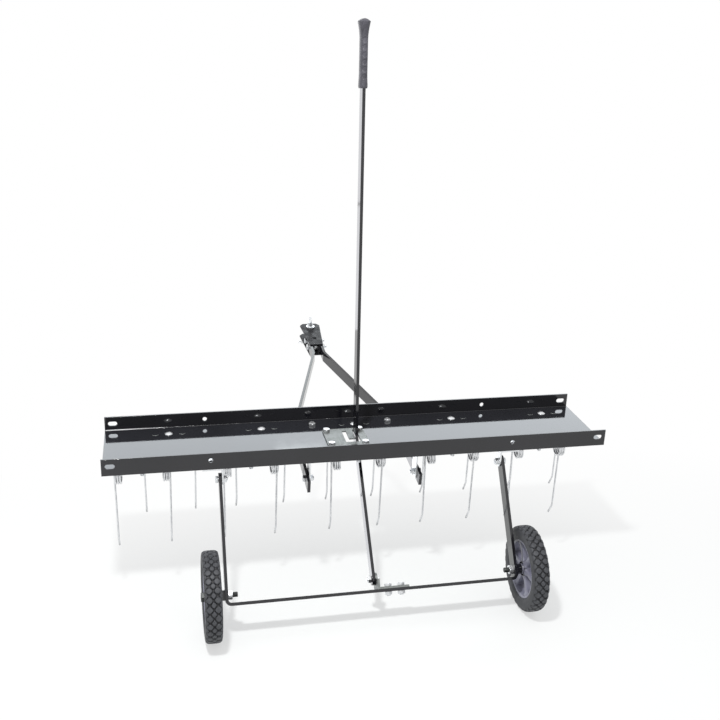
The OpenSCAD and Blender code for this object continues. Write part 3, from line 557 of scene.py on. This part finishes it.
def hex_bolt(diameter, flats, head, length, threaded):
    """Head above Z = 0 with a washer face under it, shank below."""
    washer = 0.4
    face = flats / 2 * 0.96
    return loft([
        circle(face * 0.62, head - 0.35, RING), circle(face * 0.7, head, RING),
        circle(face, head, RING), chamfered(flats, head, 1), hexagon(flats, washer),
        circle(face, washer, RING), circle(face, 0, RING), circle(diameter / 2, 0, RING),
    ] + thread(diameter, threaded - length, -length))


def dome_bolt(diameter, radius, height, length, threaded):
    """A round head with a thin rim, shank below."""
    rim = 0.8
    ball = (radius ** 2 + (height - rim) ** 2) / (2 * (height - rim))
    widest = math.asin(radius / ball)
    dome = []
    for k in range(1, 9):
        a = widest * k / 8
        dome.append(circle(ball * math.sin(a), height - ball * (1 - math.cos(a)), RING))
    return loft(dome + [
        circle(radius, rim * 0.4, RING), circle(radius - 0.4, 0, RING), circle(diameter / 2, 0, RING),
    ] + thread(diameter, threaded - length, -length))


def hex_nut(diameter, flats, height):
    """From Z = 0 up, chamfered both ends, with a countersunk bore."""
    face = flats / 2 * 0.96
    bore = diameter / 2 + 0.05
    return loft([
        circle(bore, height - 0.5, RING), circle(bore + 0.5, height, RING), circle(face, height, RING),
        chamfered(flats, height, 1), chamfered(flats, 0, -1), circle(face, 0, RING),
        circle(bore + 0.5, 0, RING), circle(bore, 0.5, RING),
    ], closed=True)


def fasteners(node, axis, shape_for, finish):
    """Replaces a node's bolts or nuts, each set on the place and length of the CAD one."""
    parts = []
    for points in solids(node):
        middle = sum(points, Vector()) / len(points)
        towards = Vector(axis) if axis else Vector((math.copysign(1, middle.x), 0, 0))
        towards.normalize()
        turn = along(towards)
        local = [turn.inverted() @ p for p in points]
        low = Vector([min(p[i] for p in local) for i in range(3)])
        high = Vector([max(p[i] for p in local) for i in range(3)])
        length = (high.z - low.z) / MM
        shape, foot = shape_for(length)
        seat = Vector(((low.x + high.x) / 2, (low.y + high.y) / 2, low.z + foot * MM))
        parts.append((shape, turn @ Matrix.Translation(seat) @ Matrix.Scale(MM, 4)))
    build(f"{node}_turned", join(parts), finish, nodes[node]["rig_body"], [node])


def all_fasteners():
    leaned = (0, math.sin(math.radians(LEG_ANGLE)), math.cos(math.radians(LEG_ANGLE)))
    up = (0, 0, 1)
    right = (1, 0, 0)
    thread_l = 14

    def bolt(diameter, flats, head):
        return lambda total: (hex_bolt(diameter, flats, head, total - head, thread_l), total - head)

    def dome(diameter, radius):
        return lambda total: (dome_bolt(diameter, radius, DOME_H, total - DOME_H, thread_l), total - DOME_H)

    def nut(diameter, flats):
        return lambda total: (hex_nut(diameter, flats, total), 0)

    plain_bolt, plain_nut = bolt(BOLT_D, BOLT_AF, HEAD_H), nut(BOLT_D, BOLT_AF)
    fasteners("tine_bolts", up, dome(BOLT_D, DOME_R), ZINC)
    for name, axis in (
        ("gate", up), ("bracket", up), ("hanger", up), ("drawbar", None), ("pivot", None), ("lever_bracket", leaned),
    ):
        fasteners(f"{name}_bolts", axis, plain_bolt, ZINC)
        fasteners(f"{name}_nuts", axis, plain_nut, ZINC)
    fasteners("tine_nuts", up, plain_nut, ZINC)
    fasteners("hitch_bolts", (-1, 0, 0), plain_bolt, ZINC)
    fasteners("hitch_nuts", right, plain_nut, ZINC)
    fasteners("lever_bolt", right, plain_bolt, ZINC)
    fasteners("lever_nut", right, plain_nut, ZINC)
    # The axle bolts take the zinc darkened as painted shade.
    fasteners("axle_bolts", None, bolt(AXLE_D, AXLE_AF, AXLE_HEAD_H), SHADED_ZINC)
    fasteners("axle_nuts", None, nut(AXLE_D, AXLE_AF), ZINC)


# Wheels

TREAD_PITCHES = 31
TREAD_STEPS = 14
TREAD_DEPTH = 3.0
TREAD_HALF = 15.0
BLOCK_ROUND = 1.6
# Columns of blocks: middle, half width, half length, and the share of a pitch they are shifted by
TREAD_COLUMNS = (
    (-14.4, 3.8, 5.2, 0.5), (-7.9, 6.0, 6.0, 0), (0, 4.5, 5.4, 0.5), (7.9, 6.0, 6.0, 0), (14.4, 3.8, 5.2, 0.5),
)


def smooth(x):
    x = min(max(x, 0), 1)
    return x * x * (3 - 2 * x)


def tread_height(x, turn):
    """How much of a tread block stands at a place across and round the tyre, 0 to 1."""
    arc = 2 * math.pi * WHEEL_R / TREAD_PITCHES
    height = 0
    for centre, half_x, half_s, phase in TREAD_COLUMNS:
        s = ((turn * TREAD_PITCHES - phase + 0.5) % 1 - 0.5) * arc
        reach = ((abs(x - centre) / half_x) ** BLOCK_ROUND + (abs(s) / half_s) ** BLOCK_ROUND) ** (1 / BLOCK_ROUND)
        height = max(height, smooth((1.12 - reach) / 0.24))
    return height


def crown(x):
    """Radius of the tread's outer face at a distance from the tyre's middle."""
    edge = max(0, abs(x) - 9.5) / 5.5
    return WHEEL_R - 0.5 * (x / 9.5) ** 2 - 2.4 * edge ** 2


def tyre_shape():
    """A tyre about the Z axis in millimetres, with how far each point stands out as a block."""
    steps = TREAD_PITCHES * TREAD_STEPS
    side = ((13.1, RIM_R), (13.6, RIM_R + 0.4), (14.5, RIM_R + 2.2), (14.7, RIM_R + 3.4), (15.3, RIM_R + 4),
            (15.8, RIM_R + 9), (16.0, RIM_R + 13), (16.0, RIM_R + 17), (15.7, RIM_R + 20))
    columns = 46
    across = [TREAD_HALF * (2 * i / columns - 1) for i in range(columns + 1)]
    rings, blocks = [], []
    for x, r in side:
        rings.append(circle(r, -x, steps))
        blocks += [0.35] * steps
    for x in across:
        ring = []
        for k in range(steps):
            stand = tread_height(x, k / steps)
            r = crown(x) - TREAD_DEPTH * (1 - stand) * (1 - 0.45 * smooth((abs(x) - 11) / 4))
            a = 2 * math.pi * k / steps
            ring.append((r * math.cos(a), r * math.sin(a), x))
            blocks.append(stand)
        rings.append(ring)
    for x, r in reversed(side):
        rings.append(circle(r, x, steps))
        blocks += [0.35] * steps
    return loft(rings, closed=True), blocks


def spoke_shape():
    """A spoke along X in millimetres: flared at both ends, thinner in the middle, with rounded edges."""
    start, stop = HUB_R - 3, RIM_R - 5.5
    rings = []
    for k in range(13):
        t = k / 12
        flare = (2 * t - 1) ** 2
        half_w = 4.6 + 3.4 * flare ** 2 + 1.6 * t
        half_h = 7.4 + 3.6 * flare ** 2
        x = start + (stop - start) * t
        ring = []
        for i in range(20):
            a = 2 * math.pi * (i + 0.5) / 20
            c, s = math.cos(a), math.sin(a)
            ring.append((
                x, half_w * math.copysign(abs(c) ** 0.4, c), half_h * math.copysign(abs(s) ** 0.4, s)
            ))
        rings.append(ring)
    return loft(rings)


def rim_shape():
    """A rim about the Z axis in millimetres: barrel with rolled lips, stepped hub and spokes."""
    half = RIM_W / 2
    outer = RIM_R - 0.1
    barrel = lathe((
        (outer, -half + 0.6), (outer, half - 0.6), (outer - 0.6, half), (outer - 3.2, half),
        (outer - 4.4, half - 0.9), (outer - 5, half - 2.4), (outer - 5.6, half - 6), (outer - 6.8, half - 10),
        (outer - 7, 0), (outer - 6.8, 10 - half), (outer - 5.6, 6 - half), (outer - 5, 2.4 - half),
        (outer - 4.4, 0.9 - half), (outer - 3.2, -half), (outer - 0.6, -half),
    ), 120)
    bore = AXLE_D / 2 + 0.05
    hub = lathe((
        (bore, -half), (bore, half), (bore + 4.2, half), (bore + 5, half - 0.8), (bore + 5.6, half - 5),
        (HUB_R - 2.4, half - 6.2), (HUB_R - 0.8, half - 7.2), (HUB_R, half - 9), (HUB_R, 9 - half),
        (HUB_R - 0.8, 7.2 - half), (HUB_R - 2.4, 6.2 - half), (bore + 5.6, 5 - half), (bore + 5, 0.8 - half),
        (bore + 4.2, -half),
    ), 72)
    parts = [(barrel, Matrix.Identity(4)), (hub, Matrix.Identity(4))]
    for i in range(SPOKES):
        parts.append((spoke_shape(), Matrix.Rotation(2 * math.pi * i / SPOKES, 4, "Z")))
    return join(parts)


def wheels():
    tyre, blocks = tyre_shape()
    rim = rim_shape()
    for side in ("left", "right"):
        low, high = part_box(f"{side}_tyre")
        place = Matrix.Translation((low + high) / 2) @ along((1, 0, 0)) @ Matrix.Scale(MM, 4)
        body = f"{side}_wheel"
        tread = build(f"{side}_tyre_tread", join([(tyre, place)]), TYRE, body, [f"{side}_tyre"], 50)
        heights = tread.data.attributes.new("block", "FLOAT", "POINT")
        heights.data.foreach_set("value", blocks)
        build(f"{side}_rim_moulded", join([(rim, place)]), RIM, body, [f"{side}_rim"], 40)


# Lever grip


def grip():
    """A moulded oval sleeve: collar, hold with lens-shaped marks, and a flare under a low dome."""
    lean = math.atan2(LEVER_TOP[0] - LEVER_BEND[0], LEVER_TOP[1] - LEVER_BEND[1])
    steps, around, cap = 160, 64, 5.5
    mark_pitch, mark_half, mark_w, mark_depth = 13, 5.8, 5.2, 1.1
    rings = []
    for k in range(steps + 1):
        z = -GRIP_L + (GRIP_L + cap) * k / steps
        collar = smooth((26 - GRIP_L - z) / 26)
        flare = min(max((z + 31) / 31, 0), 1) ** 1.7
        foot = 1 - min((z + GRIP_L) / 4, 1)
        t = GRIP_T - 0.5 + 1.8 * collar - 2.2 * foot ** 2 + (GRIP_TOP_T - GRIP_T) * flare
        dome = min(max(0, z / cap), 0.995)
        shrink = math.sqrt(1 - dome)
        half_x = t / 2 * shrink
        half_y = (LEVER_W / 2 + GRIP_WALL + (t - GRIP_T) / 2) * (0.3 + 0.7 * shrink)
        along_mark = abs((z / mark_pitch) % 1 - 0.5) * mark_pitch / mark_half
        marked = smooth((-24 - z) / 4) * smooth((z + GRIP_L - 14) / 4)
        ring = []
        for i in range(around):
            a = 2 * math.pi * i / around
            c, s = math.cos(a), math.sin(a)
            x = half_x * math.copysign(abs(c) ** 0.8, c)
            y = half_y * math.copysign(abs(s) ** 0.8, s)
            lens = smooth((1 - (x / mark_w) ** 2 - along_mark ** 2) / 0.5) * marked
            ring.append((x, y - math.copysign(mark_depth * lens * abs(s), s), z))
        rings.append(ring)
    top = at_tray(0, LEVER_TOP[0], LEVER_TOP[1])
    place = Matrix.Translation(top) @ Matrix.Rotation(-lean, 4, "X") @ Matrix.Scale(MM, 4)
    build("lever_grip_sleeve", join([(loft(rings), place)]), GRIP, "lift_lever", ["lever_grip"], 50)


# Tray


def tray_lances():
    """Bare metal edges of the lanced half-moons either side of each tine bolt."""
    sheet_top = (tray_high.z - tray_low.z) / MM
    radius, wire, offset = 6.5, 0.55, 27
    arc = [
        Vector((radius * math.cos(math.radians(a)), radius * math.sin(math.radians(a)), sheet_top + 0.3))
        for a in range(200, 341, 14)
    ]
    shape = tube(arc, wire, 8)
    parts = []
    for points in solids("tine_bolts"):
        x = (min(p.x for p in points) + max(p.x for p in points)) / 2
        y = (min(p.y for p in points) + max(p.y for p in points)) / 2
        for side in (-1, 1):
            seat = Vector((x + side * offset * MM, y, TRAY_MID.z))
            parts.append((shape, Matrix.Translation(seat) @ Matrix.Scale(MM, 4)))
    build("tray_lances", join(parts), GATE, "tray", (), 50)


def tray_seam():
    """A bead where the sheet meets the far wall; its finish paints a highlight on its left end."""
    radius = 1.2
    half_l = (tray_high.x - tray_low.x) / 2 / MM - 1
    y = (tray_high.y - tray_low.y) / 2 / MM - radius
    z = (tray_high.z - tray_low.z) / MM
    line = [Vector((half_l * (k / 4 - 1), y, z)) for k in range(9)]
    verts, faces = tube(line, radius, 10)
    place = Matrix.Translation(TRAY_MID) @ Matrix.Scale(MM, 4)
    build("tray_seam", join([((verts, faces), place)]), SEAM, "tray", (), 50)


# Stage, light and camera


def light_paths(tree):
    """1 for camera, glossy and transmission rays, 0 for the rest."""
    path = tree.nodes.new("ShaderNodeLightPath")
    total = path.outputs["Is Camera Ray"]
    for name in ("Is Glossy Ray", "Is Transmission Ray"):
        node = tree.nodes.new("ShaderNodeMath")
        node.operation = "MAXIMUM"
        tree.links.new(total, node.inputs[0])
        tree.links.new(path.outputs[name], node.inputs[1])
        total = node.outputs["Value"]
    return total


FLOOR_HALF = 9.0
# The floor's glow is painted light: white emission, mixed in for camera and glossy rays, lifts the floor's shadows,
# least around the middle GLOW_SHIFT sets and fully from GLOW_STOP out.
FLOOR_GLOW = 0.5
GLOW_START, GLOW_STOP = 0.1, 0.8
GLOW_SHIFT = (0, 0.36, 0)
GLOW_SCALE = (0.5, 1, 1)


def floor():
    """A white floor that keeps the object's shadow, lightened by a painted glow that fades to plain white away from
    it.
    """
    mesh = bpy.data.meshes.new("floor")
    corners = [(x * FLOOR_HALF, y * FLOOR_HALF, 0) for x, y in ((-1, -1), (1, -1), (1, 1), (-1, 1))]
    mesh.from_pydata(corners, [], [(0, 1, 2, 3)])
    obj = bpy.data.objects.new("floor", mesh)
    bpy.context.scene.collection.objects.link(obj)
    material = bpy.data.materials.new("floor_white")
    material.use_nodes = True
    tree = material.node_tree
    tree.nodes.clear()
    diffuse = tree.nodes.new("ShaderNodeBsdfDiffuse")
    diffuse.inputs["Color"].default_value = (0.86, 0.88, 0.87, 1)
    glow = tree.nodes.new("ShaderNodeEmission")
    coords = tree.nodes.new("ShaderNodeTexCoord")
    length = tree.nodes.new("ShaderNodeVectorMath")
    length.operation = "LENGTH"
    shift = tree.nodes.new("ShaderNodeMapping")
    shift.inputs["Location"].default_value = GLOW_SHIFT
    shift.inputs["Scale"].default_value = GLOW_SCALE
    tree.links.new(coords.outputs["Object"], shift.inputs["Vector"])
    tree.links.new(shift.outputs["Vector"], length.inputs[0])
    share = tree.nodes.new("ShaderNodeMath")
    share.operation = "MULTIPLY"
    fade = spread(tree, length.outputs["Value"], FLOOR_GLOW, 1, GLOW_START, GLOW_STOP)
    tree.links.new(fade, share.inputs[0])
    tree.links.new(light_paths(tree), share.inputs[1])
    mix = tree.nodes.new("ShaderNodeMixShader")
    output = tree.nodes.new("ShaderNodeOutputMaterial")
    tree.links.new(share.outputs["Value"], mix.inputs["Fac"])
    tree.links.new(diffuse.outputs["BSDF"], mix.inputs[1])
    tree.links.new(glow.outputs["Emission"], mix.inputs[2])
    tree.links.new(mix.outputs["Shader"], output.inputs["Surface"])
    mesh.materials.append(material)


WORLD_FILL = 0.62


def world():
    """White to the camera and to reflections, a softer white as light."""
    scene_world = bpy.data.worlds.new("studio")
    scene_world.use_nodes = True
    tree = scene_world.node_tree
    background = tree.nodes["Background"]
    tree.links.new(spread(tree, light_paths(tree), WORLD_FILL, 1, 0, 1), background.inputs["Strength"])
    background.inputs["Color"].default_value = (1, 1, 1, 1)
    bpy.context.scene.world = scene_world


def softbox(name, at, aim, width, height, power, colour):
    lamp = bpy.data.lights.new(name, "AREA")
    lamp.shape = "RECTANGLE"
    lamp.size = width
    lamp.size_y = height
    lamp.energy = power
    lamp.color = colour
    obj = bpy.data.objects.new(name, lamp)
    bpy.context.scene.collection.objects.link(obj)
    obj.matrix_world = Matrix.Translation(at) @ along(Vector(at) - Vector(aim))
    obj.visible_camera = False
    return obj


def lights(wires):
    """A key above the camera's left, panels behind, and low panels that stand for light off the floor."""
    softbox("key", (-0.545, -1.05, 2.1), (0, -0.2, 0), 0.16, 0.16, 33, (1, 1, 1))
    softbox("rear", (0.7, 3.6, 1.83), (0.7, 0, 0.3), 5.4, 1.0, 44, (0.87, 0.94, 1))
    softbox("rear_left", (-1.05, 3.6, 0.68), (-1.05, 0, 0.68), 1.1, 1.3, 4.5, (0.93, 0.94, 1))
    softbox("rear_high", (0.515, 3.6, 2.66), (0.4, 0, 0.3), 0.33, 0.9, 2.3, (0.9, 0.98, 1))
    softbox("low_left", (-0.65, 2.475, 0.01), (-0.65, 2.475, 1), 0.75, 2.25, 5.3, (0.93, 0.94, 1))
    under_tray = (
        softbox("low_mid", (-0.085, 0.115, 0.008), (-0.085, 0.115, 1), 0.18, 0.76, 0.5, (0.93, 0.94, 1)),
        softbox("low_right", (0.155, 0.02, 0.008), (0.155, 0.02, 1), 0.22, 0.6, 0.1, (0.95, 1, 0.98)),
    )
    # The tines' tips hang close over these two, so they are left out of their light
    left_out = bpy.data.collections.new("left_out")
    for wire in wires:
        left_out.objects.link(wire)
    for entry in left_out.collection_objects:
        entry.light_linking.link_state = "EXCLUDE"
    for lamp in under_tray:
        lamp.light_linking.receiver_collection = left_out


def camera():
    lens = bpy.data.cameras.new("camera")
    lens.sensor_width = 36
    lens.lens = CAMERA_LENS
    lens.clip_end = 60
    obj = bpy.data.objects.new("camera", lens)
    bpy.context.scene.collection.objects.link(obj)
    turn = (
        Matrix.Rotation(math.radians(-CAMERA_HEADING), 4, "Z")
        @ Matrix.Rotation(math.radians(90 - CAMERA_DIP), 4, "X")
        @ Matrix.Rotation(math.radians(CAMERA_ROLL), 4, "Z")
    )
    obj.matrix_world = Matrix.Translation(at_tray(*CAMERA_AT)) @ turn
    bpy.context.scene.camera = obj


dress_frame()
tine_wires = tines()
all_fasteners()
wheels()
grip()
tray_lances()
tray_seam()
floor()
world()
lights(tine_wires)
camera()
bpy.context.scene.view_settings.view_transform = "Standard"
